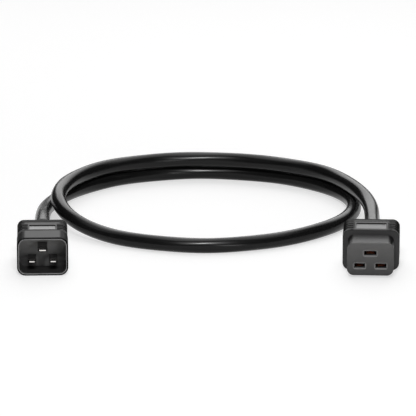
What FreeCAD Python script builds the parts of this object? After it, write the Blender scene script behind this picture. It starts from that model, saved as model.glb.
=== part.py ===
import FreeCAD, Part

# C19 power connector on its cord, with the C20 plug that the cord carries at its far end.
# Millimetres. +Z is up and the origin lies on the surface, under the middle of the C19.
# +Y runs from the C19's mating face towards its cord, and +X is to the right of someone
# who looks into that face. Each connector is built in its own local frame, with its mating
# face at y = 0 and its cord's axis at AXIS_Z, and is then placed.

import math
import os

Vector = FreeCAD.Vector

# ---------------------------------------------------------------- driving dimensions
AXIS_Z = 12.1  # height of the mating axis and of the cord's exit, both connectors

# mating faces: two power blades below, one longer earth blade above
PITCH = 13.0  # line to neutral
EARTH_RISE = 8.0  # earth above the power blades
BLADES_LOW = 0.3  # the middle of the three lies this far below the axis
POWER_BLADE = (5.0, 2.0)  # width, thickness
EARTH_BLADE = (6.0, 2.0)
SLOT_PLAY = (1.6, 0.8)  # a slot is this much wider and taller than its blade
SLOT_CHAMFER = 0.6

# C19: nose, body and boot, along y
NOSE = (28.5, 21.0, 4.2)  # width, height, corner radius
NOSE_LENGTH = 16.8
C19_BODY = (34.8, 26.0, 4.5)
NOSE_EDGE = 0.7
FRONT_WALL = 4.6  # the contacts' chambers start this far behind the nose's face

# C20: shroud round the pins, grip and boot, along y
SHROUD = (31.4, 24.2, 5.3)
SHROUD_DEPTH = 16.5
SHROUD_WALL = 1.25
NECK_GROOVE = (1.4, 0.5)  # width and depth of the groove between shroud and grip
C20_GRIP = (30.9, 23.8, 4.2)
POWER_TIP = 3.8  # the power blades stand this far inside the rim
EARTH_TIP = 1.2
PIN_TAPER = (0.95, 0.65, 1.5)  # how much a tip narrows sideways and up, over what length

# both connectors
BODY_END = 41.0
BOOT_END = 62.0
BOOT_RADII = (8.4, 6.0)  # where it leaves the body, where the cord comes out
BOOT_COLLAR = (9.3, 2.2)  # radius and length of the thick ring at its root
BOOT_SLOTS = (44.9, 47.9, 50.9, 53.9)
BOOT_SLOT_WIDTH = 1.5
BOOT_CORE = 5.6
BOOT_BRIDGE = 3.4
GROOVE_WIDTH = 1.5
GROOVE_DEPTH = 0.6
SEAM_WIDTH = 0.8  # fine line round the rear of the body
SEAM_DEPTH = 0.4

# carriers and inner moulds
ROOT = (26.2, 18.4, 2.2)  # the part of a carrier that the overmould grips
ROOT_RIB = (27.6, 19.8, 2.6)
ROOT_END = 24.4
INNER_BLOCK = (24.0, 16.4, 3.0)
INNER_BLOCK_END = 33.0
INNER_NECK = (18.0, 13.0, 3.0)
INNER_END = 36.0

# contacts and wires
STRIP = 0.5  # sheet thickness of a formed contact
CLIP_START = 5.4
CLIP_LENGTH = 12.2
CLIP_NARROWER = 0.8  # the sprung leaves are this much narrower than their blade
CLIP_HALF_HEIGHT = 2.15  # middle of the sheet at the rear of the clip
BARREL = (1.5, 1.0)  # outer and bore radius
BARREL_START = 24.9
BARREL_END = 29.9
STRANDS_START = 25.2
WIRE_START = 30.4
WIRE_RADIUS = 1.5
WIRE_RING = 1.85  # wires lie on this radius round the cord's axis
JACKET_START = 42.0

# cord
CORD_RADIUS = 4.8
CORD_REST = 4.85  # axis height of cord that lies on the surface
CORD_OVER = 14.6  # axis height of the turn that lies on the turn below

# places
C19_FRONT_Y = -31.0
C20_PLACE = Vector(-200.3, -36.3, 0.0)
C20_YAW = 5.0  # degrees about +Z

BLADES_Z = AXIS_Z - BLADES_LOW
CONTACTS = {
    "line": (-PITCH / 2, BLADES_Z - EARTH_RISE / 2, POWER_BLADE, 210.0),
    "neutral": (PITCH / 2, BLADES_Z - EARTH_RISE / 2, POWER_BLADE, 330.0),
    "earth": (0.0, BLADES_Z + EARTH_RISE / 2, EARTH_BLADE, 90.0),
}  # name: x, z, blade, angle of its wire in the cord


# ---------------------------------------------------------------- shapes that are used often
def polar(radius, degrees):
    """A vector across the cord's axis."""
    turn = math.radians(degrees)
    return Vector(radius * math.cos(turn), 0, radius * math.sin(turn))


def rounded_wire(size, y, mid=(0.0, AXIS_Z)):
    """Rounded rectangle across y; size is width, height and corner radius."""
    width, height, corner = size
    corners = []
    for quarter, (side, level) in enumerate(((1, 1), (-1, 1), (-1, -1), (1, -1))):
        across, up = side * (width / 2 - corner), level * (height / 2 - corner)
        centre = Vector(mid[0] + across, y, mid[1] + up)
        corners.append([centre + polar(corner, 90 * quarter + turn) for turn in (0, 45, 90)])
    edges = []
    for here, after in zip(corners, corners[1:] + corners[:1]):
        edges.append(Part.Arc(*here).toShape())
        edges.append(Part.LineSegment(here[2], after[0]).toShape())
    return Part.Wire(edges)


def bar(size, start, end, mid=(0.0, AXIS_Z)):
    """A rounded rectangle drawn out along y."""
    return Part.Face(rounded_wire(size, start, mid)).extrude(Vector(0, end - start, 0))


def grown(size, by):
    """The same rounded rectangle, larger by this much all round."""
    return (size[0] + 2 * by, size[1] + 2 * by, size[2] + by)


def block(low, high):
    """A box between two corners."""
    size = Vector(*high) - Vector(*low)
    return Part.makeBox(size.x, size.y, size.z, Vector(*low))


def rod(radius, start, end, x=0.0, z=AXIS_Z):
    """A cylinder along y."""
    return Part.makeCylinder(radius, end - start, Vector(x, start, z), Vector(0, 1, 0))


def edges_at(shape, y):
    """The edges that lie in the plane at this y."""
    close = 1e-4
    return [e for e in shape.Edges if abs(e.BoundBox.YMin - y) < close and abs(e.BoundBox.YMax - y) < close]


def joined(shapes):
    """One solid made of several that touch."""
    return shapes[0].multiFuse(shapes[1:]).removeSplitter()


def rounded_path(points):
    """Straight runs joined by tangent arcs, as large as the runs allow; also the arcs' radii."""
    share = 0.45
    edges, radii = [], []
    here = points[0]
    for before, corner, after in zip(points, points[1:], points[2:]):
        back, ahead = before - corner, after - corner
        reach = share * min(back.Length, ahead.Length)
        back.normalize()
        ahead.normalize()
        half_turn = (math.pi - back.getAngle(ahead)) / 2
        radius = reach / math.tan(half_turn)
        inward = (back + ahead).normalize()
        first, last = corner + back * reach, corner + ahead * reach
        middle = corner + inward * (radius / math.cos(half_turn) - radius)
        edges.append(Part.LineSegment(here, first).toShape())
        edges.append(Part.Arc(first, middle, last).toShape())
        radii.append(radius)
        here = last
    edges.append(Part.LineSegment(here, points[-1]).toShape())
    return Part.Wire(edges), radii


def pipe(points, radius):
    """A round bar along a rounded path."""
    path, radii = rounded_path(points)
    section = Part.Wire(Part.makeCircle(radius, points[0], points[1] - points[0]))
    return path.makePipeShell([section], True, False), path, radii


def export(shape, node):
    """One STEP file for each physical piece."""
    print(f"{node:22s} {shape.Volume:9.1f} mm3  solids {len(shape.Solids)}  valid {shape.isValid()}")
    shape.exportStep(f"parts/{node}.step")


# ---------------------------------------------------------------- contacts, pins and wires
def chamber_half_size(blade):
    """Half the width and height of a contact's chamber, which its web fills."""
    return (blade[0] + SLOT_PLAY[0]) / 2, CLIP_HALF_HEIGHT + STRIP / 2


def strip_profile(line, thickness):
    """Face of a bent strip in the y-z plane: the line is its middle, corners are mitred."""
    sides = ([], [])
    for i, point in enumerate(line):
        before = (point - line[i - 1]).normalize() if i else (line[1] - line[0]).normalize()
        after = (line[i + 1] - point).normalize() if i < len(line) - 1 else before
        across = Vector(0, -(before + after).z, (before + after).y).normalize()
        mitre = thickness / 2 / across.dot(Vector(0, -before.z, before.y))
        sides[0].append(point + across * mitre)
        sides[1].append(point - across * mitre)
    outline = sides[0] + sides[1][::-1]
    return Part.Face(Part.makePolygon(outline + outline[:1]))


def crimp_barrel(x, z, start, bore_start):
    """The tube that is crimped round a wire's strands."""
    return rod(BARREL[0], start, BARREL_END, x, z).cut(rod(BARREL[1], bore_start, BARREL_END, x, z))


def socket_contact(x, z, blade):
    """Female contact folded from one strip: two sprung leaves that pinch the blade, a wider
    web behind them that seats in the chamber, and a tail rolled into a crimp barrel."""
    width = blade[0] - CLIP_NARROWER
    pinch = blade[1] / 2 - 0.05 + STRIP / 2
    leaf = [(0.0, pinch + 0.75), (1.3, pinch + 0.25), (3.4, pinch), (CLIP_LENGTH - 3.6, CLIP_HALF_HEIGHT)]
    leaf.append((CLIP_LENGTH - STRIP / 2, CLIP_HALF_HEIGHT))
    upper = [Vector(x - width / 2, CLIP_START + y, z + rise) for y, rise in leaf]
    lower = [Vector(v.x, v.y, 2 * z - v.z) for v in reversed(upper)]
    clip = strip_profile(upper + lower, STRIP).extrude(Vector(width, 0, 0))
    clip_end = CLIP_START + CLIP_LENGTH
    seat_x, seat_z = chamber_half_size(blade)
    web = block((x - seat_x, clip_end - STRIP, z - seat_z), (x + seat_x, clip_end, z + seat_z))
    barrel = crimp_barrel(x, z, BARREL_START, BARREL_START)
    tail = block(
        (x - BARREL[0], clip_end - STRIP / 2, z - BARREL[0]),
        (x + BARREL[0], BARREL_START + 0.6, z - BARREL[1]),
    )
    return joined([clip, web, tail, barrel])


def blade_pin(x, z, blade, tip):
    """Solid blade with a tapered tip, and a barrel behind it for the wire."""
    width, thickness = blade
    less_width, less_thickness, lead = PIN_TAPER
    sections = []
    for y, share in ((tip, 1.0), (tip + lead, 0.0)):
        w, t = width / 2 - less_width * share, thickness / 2 - less_thickness * share
        loop = [Vector(x + sx * w, y, z + sz * t) for sx, sz in ((1, 1), (-1, 1), (-1, -1), (1, -1))]
        sections.append(Part.makePolygon(loop + loop[:1]))
    point = Part.makeLoft(sections, True, True)
    low, high = (x - width / 2, tip + lead, z - thickness / 2), (x + width / 2, ROOT_END, z + thickness / 2)
    return joined([point, block(low, high), crimp_barrel(x, z, ROOT_END, STRANDS_START)])


def strands(x, z):
    """Bare copper strands in the barrel, up to the wire's insulation."""
    return rod(BARREL[1], STRANDS_START, WIRE_START, x, z)


def wire(x, z, angle):
    """Insulated wire from the barrel to the end of the cord's jacket."""
    lead = 2.4
    end = Vector(0, JACKET_START, AXIS_Z) + polar(WIRE_RING, angle)
    begin = Vector(x, WIRE_START, z)
    ahead = Vector(0, lead, 0)
    return pipe([begin, begin + ahead, end - ahead, end], WIRE_RADIUS)[0]


# ---------------------------------------------------------------- carriers and inner moulds
def carrier_root(start):
    """The ribbed root that locks a carrier into the overmould."""
    rib_start = start + 1.8
    rib = bar(ROOT_RIB, rib_start, rib_start + 1.6)
    return joined([bar(ROOT, start, ROOT_END), rib])


def slot(x, z, blade):
    """Entry for one blade: a plain slot and its chamfered mouth."""
    half = ((blade[0] + SLOT_PLAY[0]) / 2, (blade[1] + SLOT_PLAY[1]) / 2)
    hole = block((x - half[0], -1, z - half[1]), (x + half[0], FRONT_WALL + 1, z + half[1]))
    mouths = []
    for y, more in ((0.0, SLOT_CHAMFER), (SLOT_CHAMFER, 0.0)):
        w, h = half[0] + more, half[1] + more
        loop = [Vector(x + sx * w, y, z + sz * h) for sx, sz in ((1, 1), (-1, 1), (-1, -1), (1, -1))]
        mouths.append(Part.makePolygon(loop + loop[:1]))
    return hole.fuse(Part.makeLoft(mouths, True, True))


def chamber(x, z, blade):
    """Room for one contact, open at the rear, where the contact is pushed in."""
    wide, high = chamber_half_size(blade)
    return block((x - wide, FRONT_WALL, z - high), (x + wide, ROOT_END + 1, z + high))


def contact_carrier():
    """The C19's nose: a moulded block with three blade slots and a chamber behind each."""
    nose = bar(NOSE, 0, NOSE_LENGTH)
    nose = nose.makeFillet(NOSE_EDGE, edges_at(nose, 0))
    solid = joined([nose, carrier_root(NOSE_LENGTH)])
    holes = []
    for x, z, blade, _ in CONTACTS.values():
        holes += [slot(x, z, blade), chamber(x, z, blade)]
    return solid.cut(holes[0].multiFuse(holes[1:]))


def pin_carrier(pins):
    """The floor of the C20's shroud, which holds the three blades."""
    floor = bar(grown(SHROUD, -SHROUD_WALL), SHROUD_DEPTH, SHROUD_DEPTH + 2.0)
    return joined([floor, carrier_root(SHROUD_DEPTH + 2.0)]).cut(pins[0].multiFuse(pins[1:]))


def inner_outline():
    """Block moulded behind a carrier, and the neck where its wires come out."""
    block_part = bar(INNER_BLOCK, ROOT_END, INNER_BLOCK_END)
    return joined([block_part, bar(INNER_NECK, INNER_BLOCK_END, INNER_END)])


# ---------------------------------------------------------------- overmoulds
def groove(size, mid, y, width, depth, clear=0.0):
    """Ring cut into a body; within clear of the middle the surface is left whole."""
    start, end = y - width / 2, y + width / 2
    ring = bar(grown(size, 2.0), start, end, mid).cut(bar(grown(size, -depth), start, end, mid))
    if clear:
        ring = ring.cut(block((-clear, start, -50), (clear, end, 100)))
    return ring


def label_recess(size, mid, width, start, end, depth=0.7):
    """Shallow field with rounded corners on top of a body; it carries nothing."""
    corner = 0.8
    top = mid[1] + size[1] / 2
    field = block((-width / 2, start, top - depth), (width / 2, end, top + 1))
    upright = [e for e in field.Edges if abs(e.tangentAt(e.FirstParameter).z) > 0.99]
    return field.makeFillet(corner, upright)


def boot():
    """Strain relief: a taper whose alternate slots let it bend with the cord."""
    taper = Part.makeCone(*BOOT_RADII, BOOT_END - BODY_END, Vector(0, BODY_END, AXIS_Z), Vector(0, 1, 0))
    taper = taper.makeFillet(0.4, edges_at(taper, BOOT_END))
    collar = rod(BOOT_COLLAR[0], BODY_END - 1, BODY_END + BOOT_COLLAR[1])
    collar = collar.makeFillet(0.8, edges_at(collar, BODY_END + BOOT_COLLAR[1]))
    solid = joined([taper, collar])
    for number, start in enumerate(BOOT_SLOTS):
        end = start + BOOT_SLOT_WIDTH
        ring = rod(2 * BOOT_CORE, start, end).cut(rod(BOOT_CORE, start, end))
        across, up = (BOOT_BRIDGE / 2, 50) if number % 2 else (50, BOOT_BRIDGE / 2)
        solid = solid.cut(ring.cut(block((-across, start, AXIS_Z - up), (across, end, AXIS_Z + up))))
    return solid


def moulded_body(size, mid, front, recess, grooves, clear, seam):
    """Grip and boot of a connector, with its grooves, its label field and its seam line.
    Distances along y are counted from the front of the grip."""
    grip = bar(size, front, BODY_END, mid)
    grip = grip.makeFillet(1.8, edges_at(grip, BODY_END))
    grip = grip.makeFillet(0.6, edges_at(grip, front))
    cuts = [groove(size, mid, front + y, GROOVE_WIDTH, GROOVE_DEPTH, clear) for y in grooves]
    cuts.append(groove(size, mid, front + seam, SEAM_WIDTH, SEAM_DEPTH))
    cuts.append(label_recess(size, mid, recess[0], front + recess[1], front + recess[2]))
    for cut in cuts:
        grip = grip.cut(cut)
    return joined([grip, boot()])


def hollowed(solid, carrier_envelope, wires):
    """Room in an overmould for what it was moulded round."""
    inside = [carrier_envelope, inner_outline(), rod(CORD_RADIUS, JACKET_START, BOOT_END + 1)] + wires
    return solid.cut(inside[0].multiFuse(inside[1:]))


def c19_overmould(wires):
    mid = (0.0, C19_BODY[1] / 2)
    solid = moulded_body(
        C19_BODY,
        mid,
        front=NOSE_LENGTH,
        recess=(18.6, 2.3, 14.3),
        grooves=(4.4, 8.2, 12.0),
        clear=11.1,
        seam=17.4,
    )
    return hollowed(solid, carrier_root(NOSE_LENGTH), wires)


def c20_overmould(wires):
    """The C20's grip runs on into the shroud that stands round the pins."""
    mid = (0.0, AXIS_Z)
    grip = moulded_body(
        C20_GRIP,
        mid,
        front=SHROUD_DEPTH - 1.0,
        recess=(16.2, 3.6, 12.8),
        grooves=(5.0, 8.2, 11.4),
        clear=9.0,
        seam=18.9,
    )
    width, depth = NECK_GROOVE
    grip = grip.cut(groove(C20_GRIP, mid, SHROUD_DEPTH + width / 2, width, depth))
    shroud = bar(SHROUD, 0, SHROUD_DEPTH)
    shroud = shroud.makeFillet(0.5, edges_at(shroud, 0))
    shroud = shroud.makeFillet(0.45, edges_at(shroud, SHROUD_DEPTH))
    cavity = bar(grown(SHROUD, -SHROUD_WALL), -1, SHROUD_DEPTH + 2.0)
    solid = joined([grip, shroud]).cut(cavity)
    return hollowed(solid, carrier_root(SHROUD_DEPTH + 2.0), wires)


# ---------------------------------------------------------------- cord
def on_plug_axis(distance):
    """Point on the C20's axis, this far behind its mating face."""
    turn = math.radians(C20_YAW)
    return C20_PLACE + Vector(-distance * math.sin(turn), distance * math.cos(turn), AXIS_Z)


def cord_route():
    """From the C19 over the back of the loop, down its left side, once round on the surface,
    under itself and into the C20."""
    over, rest = CORD_OVER, CORD_REST
    points = [
        (0, 11, AXIS_Z), (0, 48, AXIS_Z), (-2.5, 86.5, 13.8), (-14.5, 122, over),
        (-35.5, 154, over), (-67.5, 170.5, over), (-105.5, 179, over), (-144.5, 173.5, over),
        (-178, 155, over), (-197.5, 123, over), (-202.5, 86.5, over), (-193.5, 57.5, 10.8),
        (-172.5, 36.5, 5.6), (-140.5, 20.5, rest), (-105.5, 14.5, rest), (-70.5, 23, rest),
        (-39.5, 44.5, rest), (-18.5, 72, rest), (-11, 109.5, rest), (-23, 142, rest),
        (-49.5, 167, rest), (-86.5, 181, rest), (-125.5, 182, rest), (-162.5, 168, rest),
        (-188.5, 144, rest), (-205, 113, rest), (-209.5, 80, 7),
    ]  # fmt: skip
    return [Vector(*p) for p in points] + [on_plug_axis(79.0), on_plug_axis(JACKET_START)]


# ---------------------------------------------------------------- placing and writing
def at_c19(shape):
    """Local frame of the C19 to the model's frame."""
    moved = shape.copy()
    moved.translate(Vector(0, C19_FRONT_Y, 0))
    return moved


def at_c20(shape):
    """Local frame of the C20 to the model's frame."""
    moved = shape.copy()
    moved.rotate(Vector(0, 0, 0), Vector(0, 0, 1), C20_YAW)
    moved.translate(C20_PLACE)
    return moved


def write_connector(prefix, overmould, carrier, contacts, contact_word, place):
    """All pieces of one connector; contacts is name to its metal part."""
    wires = {name: wire(x, z, angle) for name, (x, z, _, angle) in CONTACTS.items()}
    bundles = {name: strands(x, z) for name, (x, z, _, _) in CONTACTS.items()}
    buried = list(contacts.values()) + list(wires.values()) + list(bundles.values())
    export(place(overmould(list(wires.values()))), f"{prefix}_overmould")
    export(place(carrier), f"{prefix}_{contact_word}_carrier")
    export(place(inner_outline().cut(buried[0].multiFuse(buried[1:]))), f"{prefix}_inner_mould")
    for name in CONTACTS:
        export(place(contacts[name]), f"{prefix}_{contact_word}_{name}")
        export(place(bundles[name]), f"{prefix}_strands_{name}")
        export(place(wires[name]), f"{prefix}_wire_{name}")


def write_cord():
    """The jacketed cord as one plain tube, with its measures."""
    tube, path, radii = pipe(cord_route(), CORD_RADIUS)
    expected = path.Length * math.pi * CORD_RADIUS**2
    print("cord length", round(path.Length, 1), "volume ratio", round(tube.Volume / expected, 5))
    print("cord bend radii", [round(r) for r in radii])
    export(tube, "cord")


def main():
    os.makedirs("parts", exist_ok=True)
    sockets = {name: socket_contact(x, z, blade) for name, (x, z, blade, _) in CONTACTS.items()}
    pins = {}
    for name, (x, z, blade, _) in CONTACTS.items():
        pins[name] = blade_pin(x, z, blade, EARTH_TIP if name == "earth" else POWER_TIP)
    write_connector("c19", c19_overmould, contact_carrier(), sockets, "contact", at_c19)
    write_connector("c20", c20_overmould, pin_carrier(list(pins.values())), pins, "pin", at_c20)
    write_cord()


main()
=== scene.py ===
# %% [markdown]
# # A moulded power connector on its cord
# The CAD model already holds every solid piece at its true size: two moulded connectors, the
# contacts inside them and a plain tube for the cord. This notebook loads that model as a fixed
# frame and gives it its looks, so nothing here moves or resizes a CAD piece.

# %% Load the frame
import math

import bpy
import numpy as np
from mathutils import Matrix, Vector


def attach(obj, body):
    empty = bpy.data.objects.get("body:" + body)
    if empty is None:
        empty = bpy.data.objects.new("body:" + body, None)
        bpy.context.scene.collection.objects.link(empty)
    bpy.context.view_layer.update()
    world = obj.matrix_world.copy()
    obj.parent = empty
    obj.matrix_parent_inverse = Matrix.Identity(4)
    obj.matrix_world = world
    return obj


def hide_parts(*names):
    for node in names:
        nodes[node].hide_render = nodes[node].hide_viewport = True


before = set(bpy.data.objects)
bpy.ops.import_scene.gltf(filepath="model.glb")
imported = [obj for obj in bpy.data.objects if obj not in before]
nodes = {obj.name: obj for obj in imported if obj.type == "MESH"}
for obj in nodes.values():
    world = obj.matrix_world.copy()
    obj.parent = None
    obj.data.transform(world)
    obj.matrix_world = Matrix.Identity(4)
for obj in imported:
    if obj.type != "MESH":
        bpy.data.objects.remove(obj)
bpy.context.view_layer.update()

scene = bpy.context.scene
scene.view_settings.view_transform = "Standard"
print("CAD nodes:", len(nodes))

# %% [markdown]
# ## The camera
# A product shot of a low, wide object is taken from far away with a long lens, so that both
# connectors keep their shape. The camera looks down by a small angle and is turned a little to
# the left. Its place is worked out backwards from the point that it looks at.

# %% Camera
LOOK_AT = Vector((-0.0992, -0.0319, 0.0435))
CAMERA_DISTANCE = 3.03
CAMERA_TILT = math.radians(73.5)  # 90 degrees would be level
CAMERA_TURN = math.radians(3.0)
LENS, SENSOR_WIDTH = 430.0, 36.0  # in millimetres


def make_camera():
    """A camera that looks along its own -Z axis, so its place is LOOK_AT plus its +Z axis
    times the distance."""
    data = bpy.data.cameras.new("camera")
    data.sensor_width = SENSOR_WIDTH
    data.lens = LENS
    data.clip_end = 20.0
    camera = bpy.data.objects.new("camera", data)
    camera.rotation_euler = (CAMERA_TILT, 0.0, CAMERA_TURN)
    backwards = camera.rotation_euler.to_matrix() @ Vector((0.0, 0.0, 1.0))
    camera.location = LOOK_AT + backwards * CAMERA_DISTANCE
    scene.collection.objects.link(camera)
    scene.camera = camera
    return camera


camera = make_camera()
print("camera stands at", [round(v, 3) for v in camera.location])

# %% [markdown]
# ## The cord's line
# The cord is one fixed length of stiff round cable. It leaves the boot of each connector
# straight, drops to the surface, and its two turns lie partly on each other at the back. A
# quadratic NURBS curve that a few listed points pull into shape bends as evenly as a real
# cord does, where points joined by short arcs would look like bent wire.

# %% Route
CORD_RADIUS = 0.0048
C20_PLACE = Vector((-0.2003, -0.0363, 0.0))  # under the middle of the plug's mating face
C20_YAW = math.radians(5.0)
AXIS_HEIGHT = 0.0121  # of the boots, where the cord leaves them
RESTING, OVER = 0.00485, 0.0146  # height of the cord's middle on the surface, and on itself


def on_plug_axis(distance):
    """The point this far behind the plug's mating face: its place plus the distance times the
    plug's own backward direction, raised to its axis."""
    along = Vector((-math.sin(C20_YAW), math.cos(C20_YAW), 0.0))
    return tuple(C20_PLACE + along * distance + Vector((0.0, 0.0, AXIS_HEIGHT)))


route = [
    (0.0000, 0.0110, AXIS_HEIGHT), (0.0000, 0.0480, AXIS_HEIGHT), (-0.0025, 0.0865, 0.0138),
    (-0.0145, 0.1220, OVER), (-0.0355, 0.1540, OVER), (-0.0675, 0.1705, OVER),
    (-0.1055, 0.1790, OVER), (-0.1445, 0.1735, OVER), (-0.1780, 0.1550, OVER),
    (-0.1975, 0.1230, OVER), (-0.2025, 0.0865, OVER), (-0.1935, 0.0575, 0.0108),
    (-0.1725, 0.0365, 0.0056), (-0.1405, 0.0205, RESTING), (-0.1055, 0.0145, RESTING),
    (-0.0705, 0.0230, RESTING), (-0.0395, 0.0445, RESTING), (-0.0185, 0.0720, RESTING),
    (-0.0110, 0.1095, RESTING), (-0.0230, 0.1420, RESTING), (-0.0495, 0.1670, RESTING),
    (-0.0865, 0.1810, RESTING), (-0.1255, 0.1820, RESTING), (-0.1625, 0.1680, RESTING),
    (-0.1885, 0.1440, RESTING), (-0.2050, 0.1130, RESTING), (-0.2095, 0.0800, 0.0070),
    on_plug_axis(0.079), on_plug_axis(0.042),
]


def route_curve(points):
    """One open NURBS spline of order 3, which starts and ends at its first and last points."""
    data = bpy.data.curves.new("cord_route", "CURVE")
    data.dimensions = "3D"
    spline = data.splines.new("NURBS")
    spline.points.add(len(points) - 1)
    spline.points.foreach_set("co", [v for point in points for v in (*point, 1.0)])
    spline.order_u = 3
    spline.use_endpoint_u = True
    spline.resolution_u = 24
    return bpy.data.objects.new("cord_route", data)


def points_on(curve):
    """The points of a curve that has no bevel, as an array of one row each. Blender turns such
    a curve into a chain of vertices."""
    mesh = bpy.data.meshes.new_from_object(curve)
    points = np.empty(len(mesh.vertices) * 3)
    mesh.vertices.foreach_get("co", points)
    bpy.data.meshes.remove(mesh)
    return points.reshape(-1, 3)


cord_line = points_on(route_curve(route))
steps = np.linalg.norm(np.diff(cord_line, axis=0), axis=1)
cord_distance = np.concatenate([[0.0], np.cumsum(steps)])
print("cord line:", len(cord_line), "points,", round(cord_distance[-1], 4), "m")

# %% [markdown]
# ## Surfaces from two parameters
# Every new piece is an array of points worked out with numpy. A tube is a grid: one parameter
# runs along it and the other goes round it, so its faces follow from the counts alone. One
# helper makes the points and faces into a mesh.

# %% Grid to mesh


def tube_faces(rows, columns):
    """Corner numbers of the quads between neighbours of a grid. Point (r, c) has the number
    r times columns plus c, and the last column is followed by the first."""
    here = np.arange(rows - 1)[:, None] * columns
    column = np.arange(columns)[None, :]
    after = (column + 1) % columns
    corners = (here + column, here + after, here + columns + after, here + columns + column)
    return np.stack(np.broadcast_arrays(*corners), axis=-1).reshape(-1, 4)


def add_piece(name, points, faces):
    """A mesh object from an array of points and rows of corner numbers."""
    mesh = bpy.data.meshes.new(name)
    mesh.from_pydata(points.reshape(-1, 3).tolist(), [], [list(face) for face in faces])
    mesh.shade_smooth()
    piece = bpy.data.objects.new(name, mesh)
    scene.collection.objects.link(piece)
    return piece


def triangles_in(piece):
    """How many triangles a piece is made of: a polygon with n corners counts as n - 2."""
    piece.data.calc_loop_triangles()
    return len(piece.data.loop_triangles)


# %% [markdown]
# ## The cord's jacket
# Three insulated cores are twisted together under the jacket, and the soft vinyl sinks a little
# between them. So the tube is not quite round: its radius rises and falls three times on the
# way round, and that pattern winds slowly along the cord. It is only a tenth of a millimetre
# either way, yet it makes the highlight wander instead of running as one ruler-straight line.

# %% Jacket
CORD_SIDES = 36
CORES = 3
LAY_LENGTH = 0.054  # in which one lobe winds on to the place of the next
LOBE_HEIGHT = 0.020  # of the radius


def across(line):
    """Two unit directions across a line: side = tangent x world up, and up = side x tangent.
    The cord never stands upright, so side is never zero."""
    tangent = np.gradient(line, axis=0)
    tangent /= np.linalg.norm(tangent, axis=1, keepdims=True)
    side = np.cross(tangent, (0.0, 0.0, 1.0))
    side /= np.linalg.norm(side, axis=1, keepdims=True)
    return side, np.cross(side, tangent)


def jacket_points(line, distance):
    """p(s, a) = line(s) + r(s, a) (side cos a + up sin a), where the radius is
    r = R (1 + h cos(3 a - 2 pi s / lay) - h): lobes that wind along s and never pass R."""
    side, up = across(line)
    around = np.linspace(0.0, 2 * math.pi, CORD_SIDES, endpoint=False)[None, :, None]
    winding = 2 * math.pi * distance[:, None, None] / LAY_LENGTH
    radius = CORD_RADIUS * (1 + LOBE_HEIGHT * (np.cos(CORES * around - winding) - 1))
    return line[:, None] + radius * (side[:, None] * np.cos(around) + up[:, None] * np.sin(around))


def lengthwise_uv(piece, distance, columns, size_round):
    """UV in metres: u is the share of the way round times the distance round, and v is the
    distance along the line. The last quad of a ring ends at the full way round, not at 0."""
    corners = np.empty(len(piece.data.loops), int)
    piece.data.loops.foreach_get("vertex_index", corners)
    row, column = corners // columns, corners % columns
    quads = column.reshape(-1, 4)
    wraps = (quads.max(axis=1) - quads.min(axis=1) > 1)[:, None] & (quads == 0)
    u = np.where(wraps, columns, quads).reshape(-1) / columns * size_round
    layer = piece.data.uv_layers.new(name="UVMap")
    layer.data.foreach_set("uv", np.stack([u, distance[row]], axis=1).ravel())


def make_cord():
    """The jacket, whose rings stand on every point of the cord's line."""
    points = jacket_points(cord_line, cord_distance)
    piece = add_piece("cord_jacket", points, tube_faces(len(cord_line), CORD_SIDES))
    lengthwise_uv(piece, cord_distance, CORD_SIDES, 2 * math.pi * CORD_RADIUS)
    return piece


cord = make_cord()
print("cord jacket:", triangles_in(cord), "triangles")

# %% The cord's place in the part
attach(cord, "root")
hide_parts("cord")

# %% [markdown]
# ## Shader sums in Python
# A node tree is easier to read as an expression. `Signal` wraps an output socket so that plain
# Python sums add Math nodes. `Graph` is one tree, whose `node` method makes any node from its
# type, its settings and what goes into its sockets, and `Finish` is the tree of one material.

# %% Signal


class Signal:
    """A value that varies over a surface. Each +, -, * or abs() on it adds a Math node."""

    def __init__(self, graph, socket):
        self.graph = graph
        self.socket = socket

    def maths(self, operation, first, second=0.0):
        """One Math node on one or two values."""
        return self.graph.node("ShaderNodeMath", {"operation": operation}, {0: first, 1: second})[0]

    def __add__(self, other):
        return self.maths("ADD", self, other)

    def __sub__(self, other):
        return self.maths("SUBTRACT", self, other)

    def __rsub__(self, other):
        return self.maths("SUBTRACT", other, self)

    def __mul__(self, other):
        return self.maths("MULTIPLY", self, other)

    def __abs__(self):
        return self.maths("ABSOLUTE", self)

    __radd__ = __add__
    __rmul__ = __mul__

    def smaller_of(self, other):
        """The smaller of two values, which keeps a mask only where both have it."""
        return self.maths("MINIMUM", self, other)

    def larger_of(self, other):
        """The larger of two values, which joins two masks."""
        return self.maths("MAXIMUM", self, other)

    def root(self):
        """The square root."""
        return self.maths("SQRT", self)

    def fades(self, start, end, origin=0.0):
        """0 at start and 1 at end, both measured from origin, with a straight ramp between them
        and level beyond. Where end is below start, the ramp runs the other way."""
        inputs = {"Value": self, "From Min": origin + start, "From Max": origin + end}
        return self.graph.node("ShaderNodeMapRange", {"clamp": True}, inputs)["Result"]


# %% Graph


class Graph:
    """The node tree of a material or of the world."""

    def __init__(self, tree):
        self.tree = tree

    def fill(self, socket, value):
        """Links a signal to a socket, or sets a plain value on it."""
        if isinstance(value, Signal):
            self.tree.links.new(value.socket, socket)
        else:
            socket.default_value = value

    def node(self, kind, settings=None, inputs=None):
        """Any node: its settings are set first, then its sockets. Returns its outputs by name
        and by number."""
        made = self.tree.nodes.new(kind)
        for name, value in (settings or {}).items():
            setattr(made, name, value)
        for name, value in (inputs or {}).items():
            self.fill(made.inputs[name], value)
        outputs = {socket.name: Signal(self, socket) for socket in made.outputs}
        outputs.update({number: Signal(self, socket) for number, socket in enumerate(made.outputs)})
        return outputs

    def background_seen(self):
        """1 where the background is looked at, straight or in a mirror or through glass, and 0
        where it lights a surface."""
        path = self.node("ShaderNodeLightPath")
        rays = path["Is Camera Ray"] + path["Is Glossy Ray"] + path["Is Transmission Ray"]
        return rays.smaller_of(1.0)


# %% Finish


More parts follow.
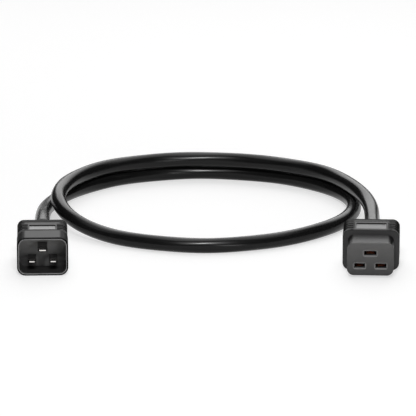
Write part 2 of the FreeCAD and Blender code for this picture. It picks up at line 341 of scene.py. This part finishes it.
class Finish(Graph):
    """One material. The surface shader is a Principled BSDF."""

    def __init__(self, name, **shader_values):
        self.material = bpy.data.materials.new(name)
        self.material.use_nodes = True
        super().__init__(self.material.node_tree)
        self.tree.nodes.clear()
        self.shader = self.tree.nodes.new("ShaderNodeBsdfPrincipled")
        output = self.tree.nodes.new("ShaderNodeOutputMaterial")
        self.tree.links.new(self.shader.outputs[0], output.inputs["Surface"])
        for socket, value in shader_values.items():
            self.set(socket.replace("_", " "), value)

    def set(self, socket, value):
        """Gives one of the shader's sockets a plain value or a signal."""
        self.fill(self.shader.inputs[socket], value)

    def place(self):
        """Object coordinates, which are metres in the model's own frame."""
        return self.node("ShaderNodeTexCoord")["Object"]

    def place_from(self, centre, turn=0.0):
        """x, y and z measured from a point, along axes turned about z."""
        inputs = {"Vector": self.place(), "Location": centre, "Rotation": (0.0, 0.0, turn)}
        back = self.node("ShaderNodeMapping", {"vector_type": "TEXTURE"}, inputs)
        parts = self.node("ShaderNodeSeparateXYZ", {}, {"Vector": back["Vector"]})
        return parts["X"], parts["Y"], parts["Z"]

    def stretched(self, where, share):
        """Places that move on along y at only this share of the true rate, so that a noise on
        them is drawn out into lines."""
        inputs = {"Vector": where, "Scale": (1.0, share, 1.0)}
        return self.node("ShaderNodeMapping", {}, inputs)["Vector"]

    def noise(self, where, scale, detail=2.0, roughness=0.5):
        """Cloudy values about 0.5, with scale clouds to the metre and finer ones in them."""
        inputs = {"Vector": where, "Scale": scale, "Detail": detail, "Roughness": roughness}
        return self.node("ShaderNodeTexNoise", {}, inputs)["Fac"]

    def blend(self, share, first, second):
        """A colour between two: (1 - share) first + share second."""
        inputs = {0: share, 6: first, 7: second}
        return self.node("ShaderNodeMix", {"data_type": "RGBA"}, inputs)[2]

    def bump(self, height, distance, strength=1.0):
        """Tilts the surface as if it stood up by height times distance, in metres."""
        inputs = {"Height": height, "Distance": distance, "Strength": strength}
        self.set("Normal", self.node("ShaderNodeBump", {}, inputs)["Normal"])


# %% Small helpers for finishes


def outside_of(u, v, half, radius):
    """How far (u, v) lies outside a rounded rectangle about the origin, with q = |p| - half + r:
    d = |max(q, 0)| + min(max(q_u, q_v), 0) - r, which is below 0 inside."""
    q_u, q_v = abs(u) - (half[0] - radius), abs(v) - (half[1] - radius)
    out_u, out_v = q_u.larger_of(0.0), q_v.larger_of(0.0)
    corner = (out_u * out_u + out_v * out_v).root()
    return corner + q_u.larger_of(q_v).smaller_of(0.0) - radius


def grey(level, warmth=0.0):
    """An almost neutral colour: red is level (1 + warmth) and blue is level (1 - warmth)."""
    return (level * (1 + warmth), level, level * (1 - warmth), 1.0)


def dress(finish, *names):
    """Puts one finish on CAD nodes, into the material slots that they already have."""
    for name in names:
        for slot in nodes[name].material_slots:
            slot.material = finish.material


# %% [markdown]
# ## The moulded vinyl
# The overmould is soft black vinyl, shot round the inner parts in a spark-eroded tool, so its
# skin is a fine even grain that breaks up reflections. The tool was polished in the middle of
# the top only: there a thin gloss lies on the skin, and the grip pads, the corners and the
# bottoms of all grooves stay matt. The grooves and the rounded sides are painted dark, as
# painted shade. Pale lines at the corners of the grip's edges and a pale ring on the plug's open
# rim are painted highlights, and the dark band round that ring is painted shade. The label field
# is painted pale, as a painted sheen, and the front round the nose is painted paler, as painted
# light.
# Each patch could be painted on a UV map. Here it is worked out from the moulding's own sizes,
# so that one function dresses both mouldings, and a patch ends where its groove or edge does.

# %% Sizes of the overmoulds


class Moulding:
    """Sizes of one overmould in metres, on its own axes: y runs back along the connector."""

    def __init__(self, place, turn, outline, middle, grip, label, label_sheen, matt_from,
                 highlit, shade, mouth=None):
        self.place, self.turn = place, turn
        self.outline, self.middle = outline, middle  # (half sizes, corner radius) and its height
        self.front, self.rear = grip  # where the grip starts and ends
        # the label field is painted pale, as a painted sheen
        self.label, self.label_sheen = label, label_sheen  # centre along y, half sizes, height
        self.matt_from = matt_from  # the polish ends here
        self.highlit = highlit  # edges painted with a pale highlight at the corners
        self.shade = shade  # how dark the rounded sides are painted, as painted shade
        self.mouth = mouth  # outline of an open front edge


C19 = Moulding(
    place=(0.0, 0.0, 0.0), turn=0.0, outline=((0.0174, 0.0130), 0.0045), middle=0.0130,
    grip=(-0.0142, 0.0100), label=(-0.0059, (0.0093, 0.0060), 0.0250), label_sheen=0.24,
    matt_from=0.0045, highlit=(-0.0138,), shade=0.9,
)
C20 = Moulding(
    place=C20_PLACE, turn=C20_YAW, outline=((0.01545, 0.0119), 0.0042), middle=AXIS_HEIGHT,
    grip=(0.0162, 0.0410), label=(0.0237, (0.0081, 0.0046), 0.0230), label_sheen=0.34,
    matt_from=0.0335, highlit=(0.0158, 0.0181), shade=0.45, mouth=((0.0157, 0.0121), 0.0053),
)
print("grips:", [round(body.rear - body.front, 4) for body in (C19, C20)], "m long")

# %% Patches of the overmould
# Each pair is a ramp in metres: the patch is 0 at the first place and 1 at the second.
SUNK = (-0.0002, -0.0004)  # from the skin inwards
GRIP_FRONT, GRIP_REAR = (0.0003, 0.0007), (-0.0008, -0.0012)  # from the two ends of the grip
LABEL_CORNER = 0.0008  # radius
LABEL_EDGE, LABEL_FLOOR = (0.0, -0.0002), (0.0, 0.0002)  # from its outline and its height
PAD_SIDE = (0.0006, 0.0010)  # from the label's side outwards
PAD_END = (0.0075, 0.0068)  # from the label's centre, along the grip
CORNERS = (0.0102, 0.0114)  # from the middle outwards
POLISH_END = (0.0, 0.0012)  # from matt_from backwards
UPPER_PART = (0.018, 0.021)  # above the surface that the moulding stands on
SIDE, SIDE_FRONT = (-0.0032, -0.0014), (0.0, 0.0005)  # from the widest place, from the grip


def grooves(body, y, inwards):
    """1 in the grooves: below the skin, and between the two ends of the grip."""
    within = y.fades(*GRIP_FRONT, body.front) * y.fades(*GRIP_REAR, body.rear)
    return inwards.fades(*SUNK) * within


def label_field(body, x, y, z):
    """1 within the label's rounded outline and above its height."""
    centre, half, height = body.label
    outside = outside_of(x, y - centre, half, LABEL_CORNER)
    return outside.fades(*LABEL_EDGE) * z.fades(*LABEL_FLOOR, height)


def unpolished(body, x, y, z):
    """The largest of three masks, on the upper part only: the grip pads beside the label, the
    corners, and all that lies behind matt_from."""
    centre, half, _ = body.label
    pads = abs(x).fades(*PAD_SIDE, half[0]) * abs(y - centre).fades(*PAD_END)
    corners = abs(x).fades(*CORNERS)
    behind = y.fades(*POLISH_END, body.matt_from)
    return pads.larger_of(corners).larger_of(behind) * z.fades(*UPPER_PART)


def painted_side_shade(body, x, y):
    """The moulding's painted shade near its widest place, from the front of the grip on."""
    beside = body.shade * abs(x).fades(*SIDE, body.outline[0][0])
    return beside * y.fades(*SIDE_FRONT, body.front)


# %% Overmould finish
SKIN = 0.029  # how pale the vinyl is
PAINTED_SHADE = 0.3 * SKIN  # painted shade in the grooves and on the rounded sides
FACE_LIGHT = 2.1 * SKIN  # the connector's front, round its nose, painted paler as painted light
EDGE_HIGHLIGHT = 0.13  # a painted highlight along an edge
RIM_HIGHLIGHT, RIM_SHADE = 0.38, 0.006  # a painted highlight ring on the plug's open rim and a band of painted shade round it
POLISH = 0.52  # weight of the gloss where the tool was polished
HIGHLIGHT_LINE = (0.0004, 0.0002)  # to either side of the edge; these are ramps again
HIGHLIGHT_PART, WIDEST_PART = (-0.0052, -0.0038), (-0.0005, -0.0002)  # from the widest place
ON_SKIN = (-0.0006, -0.0004)  # from the skin inwards
LIP = (0.0014, 0.0006)  # behind the plug's mating face
LIP_BAND, LIP_RING = (-0.0012, -0.0008), (-0.00085, -0.00105)  # from the rim's outline
LIP_TOP = (0.0105, 0.0118)  # from the plug's axis upwards
FACE_FRONT, FACE_PART = (0.0005, 0.0001), (-0.0006, -0.0009)  # from the grip, from the skin


def painted_lip_light_and_shade(finish, body, skin, z, lip, depth):
    """A black band of painted shade along the rim's outline, which is left out by 0.9 at the top,
    and a pale ring of painted highlight inside it. Depth is below 0 inside the outline."""
    band = lip * depth.fades(*LIP_BAND) * (1.0 - 0.9 * z.fades(*LIP_TOP, body.middle))
    skin = finish.blend(band, skin, grey(RIM_SHADE))
    return finish.blend(lip * depth.fades(*LIP_RING), skin, grey(RIM_HIGHLIGHT))


def overmould_finish(name, body):
    """Vinyl of two close blacks, painted over in turn by matt patches, painted shade in the grooves
    and on the sides, painted highlights on edges, the label field's painted sheen, and at the
    front painted light, or on a plug's rim a painted highlight and painted shade. The gloss is
    POLISH times 1 less the larger of 0.7 matt and, off the label field, of the grooves and the sides."""
    finish = Finish(name, Specular_IOR_Level=0.0, Coat_IOR=1.3, Coat_Roughness=0.36)
    where = finish.place()
    x, y, z = finish.place_from(body.place, body.turn)
    drift = finish.noise(where, 90.0, 3.0)
    grain = finish.noise(where, 3200.0, 2.0)
    inwards = outside_of(x, z - body.middle, *body.outline)
    widest = body.outline[0][0]
    sunk = grooves(body, y, inwards)
    field = label_field(body, x, y, z)
    matt = unpolished(body, x, y, z)
    side = painted_side_shade(body, x, y)
    # painted shade: the grooves and the rounded sides are painted near black
    black = sunk.larger_of(side * (1.0 - 0.75 * abs(x).fades(*WIDEST_PART, widest)))
    skin = finish.blend(drift, grey(SKIN), grey(1.35 * SKIN, 0.01))
    skin = finish.blend(matt, skin, grey(SKIN))
    skin = finish.blend(black, skin, grey(PAINTED_SHADE))
    # painted highlights: pale lines along the grip's edges at its corners
    for edge in body.highlit:
        line = abs(y - edge).fades(*HIGHLIGHT_LINE) * abs(x).fades(*HIGHLIGHT_PART, widest)
        skin = finish.blend(line * inwards.fades(*ON_SKIN), skin, grey(EDGE_HIGHLIGHT))
    # painted sheen: the label field is painted pale
    skin = finish.blend(field, skin, grey(body.label_sheen))
    gloss = POLISH * (1.0 - (0.70 * matt).larger_of(sunk.larger_of(side) * (1.0 - field)))
    if body.mouth:
        lip = y.fades(*LIP)
        depth = outside_of(x, z - body.middle, *body.mouth)
        # painted shade and a painted highlight on the plug's open rim
        skin = painted_lip_light_and_shade(finish, body, skin, z, lip, depth)
        gloss = gloss * (1.0 - lip)
    else:
        # painted light: the front round the nose is painted paler than the rest
        face = y.fades(*FACE_FRONT, body.front) * inwards.fades(*FACE_PART)
        skin = finish.blend(face, skin, grey(FACE_LIGHT))
    finish.set("Base Color", skin)
    finish.set("Roughness", 0.45 + 0.08 * drift + 0.12 * matt)
    finish.set("Coat Weight", gloss)
    finish.bump(grain, 0.00003, 0.35)
    return finish


for end, body in {"c19": C19, "c20": C20}.items():
    vinyl = overmould_finish(f"vinyl_{end}", body)
    dress(vinyl, f"{end}_overmould")
    print(vinyl.material.name, "has", len(vinyl.tree.nodes), "nodes")

# %% [markdown]
# ## The harder mouldings
# The nose of the connector and the floor of the plug are glass-filled nylon: a shade greyer
# than the vinyl, with short fibres that show as faint flow marks. The inner moulds are plain
# polyethylene that nobody sees. Every one is a cloudy noise between two tones, which is enough
# for a flat moulded face. On the nylon, painted light makes it paler towards the top, and
# painted shade in its dark corners and painted highlights round the slots are laid over it
# from the piece's sizes.

# %% Nylon
NOSE_SIDE, NOSE_CORNER_SHADE = 0.065, 0.006  # the nose behind its face, and painted shade on its corners there
# a painted highlight round each slot on the face
SLOT_RIM_HIGHLIGHT = 0.23
WELL_CORNER_SHADE = 0.05  # painted shade on the floor of the plug, low at both sides
SLOTS = (  # x, height and half sizes of the openings in the nose
    (-0.0065, 0.0078, (0.0033, 0.0014)), (0.0065, 0.0078, (0.0033, 0.0014)),
    (0.0, 0.0158, (0.0038, 0.0014)),
)
SLOT_CORNER = 0.0004  # radius
# Ramps, along the connector, outwards from its middle, outwards from a slot, and upwards.
ON_FACE, BEHIND_FACE = (-0.0300, -0.0304), (-0.0305, -0.0301)
NOSE_SIDES, WELL_SIDES = (0.0106, 0.0116), (0.0035, 0.0080)
SLOT_HIGHLIGHT_WIDTH = (0.0009, 0.0006)
PAINTED_LIGHT_UPWARDS, WELL_LOW = (0.002, 0.022), (0.0085, 0.0040)


def nose_tones(finish, colour, x, y, z):
    """The nose is one grey behind its face, with dark corners of painted shade, and the face is
    painted pale round each slot as a painted highlight, for a little over half a millimetre."""
    behind = y.fades(*BEHIND_FACE)
    colour = finish.blend(behind, colour, grey(NOSE_SIDE))
    # painted shade on the nose's corners behind its face
    colour = finish.blend(behind * abs(x).fades(*NOSE_SIDES), colour, grey(NOSE_CORNER_SHADE))
    for middle, height, half in SLOTS:
        # painted highlight round each slot
        rim = outside_of(x - middle, z - height, half, SLOT_CORNER).fades(*SLOT_HIGHLIGHT_WIDTH)
        colour = finish.blend(rim * y.fades(*ON_FACE), colour, grey(SLOT_RIM_HIGHLIGHT))
    return colour


def nylon_finish(name, low, high, body):
    """Two close greys in cloudy flow marks: their share is 0.7 height + 0.3 flow, as painted light
    that makes the piece paler towards the top. The plug's floor has painted shade in its lower corners."""
    finish = Finish(name, Specular_IOR_Level=0.08)
    where = finish.place()
    x, y, z = finish.place_from(body.place, body.turn)
    flow = finish.noise(where, 240.0, 4.0, 0.6)
    grain = finish.noise(where, 4200.0, 2.0)
    # painted light: paler towards the top
    share = 0.7 * z.fades(*PAINTED_LIGHT_UPWARDS) + 0.3 * flow
    colour = finish.blend(share, grey(low), grey(high, 0.01))
    if body.mouth:
        # painted shade: the plug's floor is darker in its lower corners
        corners = abs(x).fades(*WELL_SIDES) * z.fades(*WELL_LOW)
        colour = finish.blend(corners, colour, grey(WELL_CORNER_SHADE))
    else:
        colour = nose_tones(finish, colour, x, y, z)
    finish.set("Base Color", colour)
    finish.set("Roughness", 0.34 + 0.10 * flow)
    finish.bump(grain, 0.00002, 0.3)
    return finish


dress(nylon_finish("nylon", 0.056, 0.145, C19), "c19_contact_carrier")
# painted light: the plug's floor is painted much paler than the nose, and paler still at the top, to
# stand in for light inside the plug
dress(nylon_finish("nylon_painted_light", 0.09, 0.40, C20), "c20_pin_carrier")
# the slot rims are painted highlights
print("slot rims rubbed pale:", len(SLOTS))

# %% Polyethylene


def polyethylene_finish():
    """Two close greys, blended by one cloudy noise that also makes the surface a bit duller."""
    finish = Finish("polyethylene", Specular_IOR_Level=0.5)
    cloud = finish.noise(finish.place(), 150.0)
    finish.set("Base Color", finish.blend(cloud, grey(0.10), grey(0.13)))
    finish.set("Roughness", 0.45 + 0.1 * cloud)
    return finish


inner_moulds = [name for name in nodes if name.endswith("_inner_mould")]
dress(polyethylene_finish(), *inner_moulds)
print("polyethylene:", inner_moulds)

# %% [markdown]
# ## The jacket's finish
# Extruded vinyl is glossier than moulded vinyl. It comes out of a round die, so what marks it
# has run lengthwise: faint draw lines, and patches that are a little duller. Its pattern reads
# the UV map, so that it follows the cord round every bend.

# %% Jacket finish


def jacket_finish():
    """Two close blacks in soft patches. The roughness is 0.19 and up to 0.06 more in a patch
    and 0.03 more in a draw line, and the lines also stand up by a hundredth of a millimetre."""
    finish = Finish("jacket", Specular_IOR_Level=0.18)
    along = finish.node("ShaderNodeUVMap", {"uv_map": "UVMap"})["UV"]
    lines = finish.noise(finish.stretched(along, 0.04), 2600.0, 2.0)
    patches = finish.noise(finish.place(), 70.0, 3.0)
    finish.set("Base Color", finish.blend(patches, grey(0.007), grey(0.010)))
    finish.set("Roughness", 0.19 + 0.06 * patches + 0.03 * lines)
    finish.bump(lines, 0.000012, 0.3)
    return finish


jacket = jacket_finish()
cord.data.materials.append(jacket.material)
print("jacket finish:", len(jacket.tree.nodes), "nodes")

# %% [markdown]
# ## Metal and wires
# Pins are nickel-plated brass, ground lengthwise. Socket contacts are bare bronze strip.
# Stripped strands are copper, and each core keeps its standard colour. A metal shows nothing
# but reflections, so it is told from another by their tint and by the fine lines that rolling
# or grinding leave. The lines are a noise that is drawn out along the pin.

# %% Metal
SHANK_SHADE = 0.12  # a pin is painted this dark behind its bright length, as painted shade
SHANK_EDGE = (0.0, 0.0008)  # a ramp, from where the bright length ends


def metal_finish(name, bright, dull, roughness, shade_from=None):
    """Metal whose colour drifts between two tones, with fine lines along y. A pin is bright from
    the mating face back to the place given last, and painted dark behind it, as painted shade."""
    finish = Finish(name, Metallic=1.0)
    where = finish.place()
    lines = finish.noise(finish.stretched(where, 0.05), 5200.0, 2.0)
    tone = finish.noise(where, 320.0, 3.0)
    colour = finish.blend(tone, bright, dull)
    if shade_from:
        y = finish.place_from(C20_PLACE, C20_YAW)[1]
        # painted shade: the pin is darker behind its bright length
        colour = finish.blend(y.fades(*SHANK_EDGE, shade_from), colour, grey(SHANK_SHADE, 0.01))
    finish.set("Base Color", colour)
    finish.set("Roughness", roughness + 0.12 * tone + 0.06 * lines)
    finish.bump(lines, 0.00001, 0.4)
    return finish


# %% Wire insulation
STRIPE = (0.0152, 0.0154)  # heights between which the earth wire's colour changes


def insulation_finish(name, colour, second=None):
    """Smooth insulation between its colour and 0.8 of it. The earth wire has a second colour
    on its upper part."""
    finish = Finish(name, Roughness=0.35)
    where = finish.place()
    shade = finish.noise(where, 260.0)
    dark = tuple(0.8 * v for v in colour[:3]) + (1.0,)
    skin = finish.blend(shade, dark, colour)
    if second:
        height = finish.node("ShaderNodeSeparateXYZ", {}, {"Vector": where})["Z"]
        skin = finish.blend(height.fades(*STRIPE), skin, second)
    finish.set("Base Color", skin)
    return finish


# %% Conductors
BRIGHT_TO = {"line": 0.0055, "neutral": 0.0055, "earth": 0.0029}  # from the mating face back
bronze = metal_finish("bronze", (0.86, 0.46, 0.30, 1.0), (0.66, 0.33, 0.20, 1.0), 0.38)
copper = metal_finish("copper", (0.85, 0.46, 0.30, 1.0), (0.66, 0.32, 0.20, 1.0), 0.32)
wires = {
    "line": insulation_finish("wire_brown", (0.16, 0.07, 0.03, 1.0)),
    "neutral": insulation_finish("wire_blue", (0.03, 0.12, 0.42, 1.0)),
    "earth": insulation_finish("wire_earth", (0.10, 0.36, 0.06, 1.0), (0.75, 0.60, 0.04, 1.0)),
}
for core, insulation in wires.items():
    tones = grey(0.80, 0.03), grey(0.68, 0.02)
    nickel = metal_finish(f"nickel_{core}", *tones, 0.12, BRIGHT_TO[core])
    dress(nickel, f"c20_pin_{core}")
    dress(bronze, f"c19_contact_{core}")
    dress(copper, f"c19_strands_{core}", f"c20_strands_{core}")
    dress(insulation, f"c19_wire_{core}", f"c20_wire_{core}")
print("cores dressed at both ends:", list(wires))

# %% [markdown]
# ## Floor and room
# A black, glossy cord shows its shape only by what it mirrors, so what stands round it counts
# as much as the lamps. The walls are black, and black panels close to the softbox keep the pale
# band that it draws on the cord narrow. The floor keeps the soft shadow. What is seen of it and
# of the world, straight or mirrored, is brought up to white, and none of that lights the object.

# %% Floor
SHADOW_CARD, GLOW = 0.49, 0.60  # the lit half and the glowing half of the floor that is seen
LIGHT_CARD = 0.8  # the floor that throws light back


def floor_material():
    """Half glow and half lit where it is looked at, so that it is white and keeps its shadow.
    A plain grey card wherever it throws light back onto the object."""
    finish = Finish("floor")
    lit = finish.node("ShaderNodeBsdfDiffuse", {}, {"Color": grey(SHADOW_CARD)})["BSDF"]
    glow = finish.node("ShaderNodeEmission", {}, {"Color": grey(1.0), "Strength": GLOW})["Emission"]
    seen = finish.node("ShaderNodeAddShader", {}, {0: lit, 1: glow})[0]
    card = finish.node("ShaderNodeBsdfDiffuse", {}, {"Color": grey(LIGHT_CARD)})["BSDF"]
    mixed = finish.node("ShaderNodeMixShader", {}, {0: finish.background_seen(), 1: card, 2: seen})[0]
    output = finish.tree.nodes["Material Output"]
    finish.tree.links.new(mixed.socket, output.inputs["Surface"])
    finish.tree.nodes.remove(finish.shader)
    return finish.material


def make_floor(half=3.0):
    """One square on the surface, from -half to half both ways."""
    corners = np.array([(-half, -half, 0.0), (half, -half, 0.0), (half, half, 0.0), (-half, half, 0.0)])
    floor = add_piece("floor", corners, [(0, 1, 2, 3)])
    floor.data.materials.append(floor_material())
    return floor


print("floor:", triangles_in(make_floor()), "triangles")

# %% Room
PANEL_ENDS = (-0.91, 1.95), (0.53, 1.95)  # x and y, beside the softbox
CEILING_TO = -0.4  # it leaves the softbox free
FLAG_PLACE, FLAG_HEIGHT = 0.85, 0.17


def upright(start, end, foot, top):
    """The corners of a wall between two places (x, y)."""
    return [(*start, foot), (*end, foot), (*end, top), (*start, top)]


def make_room(half=3.0, front=-3.4, back=0.3, foot=0.25, top=3.2):
    """Matt black walls behind the camera and at both sides, panels that close in on the softbox,
    a ceiling in front of it and a low flag at its foot. They are out of the picture, and keep
    the dark parts of black plastic dark."""
    near_left, near_right = (-half, front), (half, front)
    far_left, far_right = (-half, back), (half, back)
    sheets = [upright(*ends, foot, top) for ends in (
        (near_left, near_right), (near_left, far_left), (near_right, far_right))]
    sheets += [upright(far, end, 0.0, top) for far, end in zip((far_left, far_right), PANEL_ENDS)]
    ceiling = near_left, near_right, (half, CEILING_TO), (-half, CEILING_TO)
    sheets.append([(*corner, top) for corner in ceiling])
    sheets.append(upright((-half, FLAG_PLACE), (half, FLAG_PLACE), 0.0, FLAG_HEIGHT))
    corners = np.array(sheets)
    room = add_piece("room", corners, np.arange(corners.size // 3).reshape(-1, 4))
    room.data.materials.append(Finish("black_wall", Roughness=1.0, Base_Color=grey(0.02)).material)
    room.visible_camera = False
    return room


print("room:", len(make_room().data.polygons), "black sheets")

# %% [markdown]
# ## The lamps
# One lamp can't light black plastic well: a large one leaves it dull and a small one burns a
# spot. So the work is shared. The overhead softbox draws the pale band along the cord, the
# front lamp adds the short highlight, and the low lamp looks into the plug. The reflector and
# the bulb are mirrored only. They give that highlight a dim surround and a bright core, and
# since they throw no light, they can be set without touching the rest.

# %% Lamps


def softbox(name, place, aim, size, radiance, mirrored_only=False):
    """A rectangular area light that faces a point. Its power is radiance times pi times area.
    One that is mirrored only shows in gloss and throws no light on anything."""
    data = bpy.data.lights.new(name, "AREA")
    data.shape = "RECTANGLE"
    data.size, data.size_y = size
    data.energy = radiance * math.pi * size[0] * size[1]
    light = bpy.data.objects.new(name, data)
    light.location = place
    light.rotation_euler = (Vector(aim) - Vector(place)).to_track_quat("-Z", "Y").to_euler()
    light.visible_camera = False
    light.visible_diffuse = not mirrored_only
    scene.collection.objects.link(light)


MIDDLE = (-0.1, 0.05, 0.0)
softbox("overhead", (-0.07, 0.90, 1.015), MIDDLE, (1.2, 2.5), 1.7)
softbox("front_lamp", (-0.06, -0.98, 1.02), MIDDLE, (0.34, 0.18), 46.0)
softbox("low_lamp", (0.8, -2.1, 0.38), MIDDLE, (0.6, 0.20), 14.0)
softbox("reflector", (-0.06, -0.98, 1.06), MIDDLE, (0.9, 1.05), 3.2, mirrored_only=True)
softbox("bulb", (-0.06, -0.97, 1.01), MIDDLE, (0.16, 0.10), 110.0, mirrored_only=True)

# %% World


def make_world(fill):
    """Strength = fill + (1 - fill) seen: white where it is looked at, and a weak even fill where
    it lights the object."""
    world = bpy.data.worlds.new("studio")
    world.use_nodes = True
    graph = Graph(world.node_tree)
    background = world.node_tree.nodes["Background"]
    graph.fill(background.inputs["Strength"], fill + (1.0 - fill) * graph.background_seen())
    graph.fill(background.inputs["Color"], grey(1.0))
    scene.world = world
    return world


print("world:", make_world(fill=0.32).name)
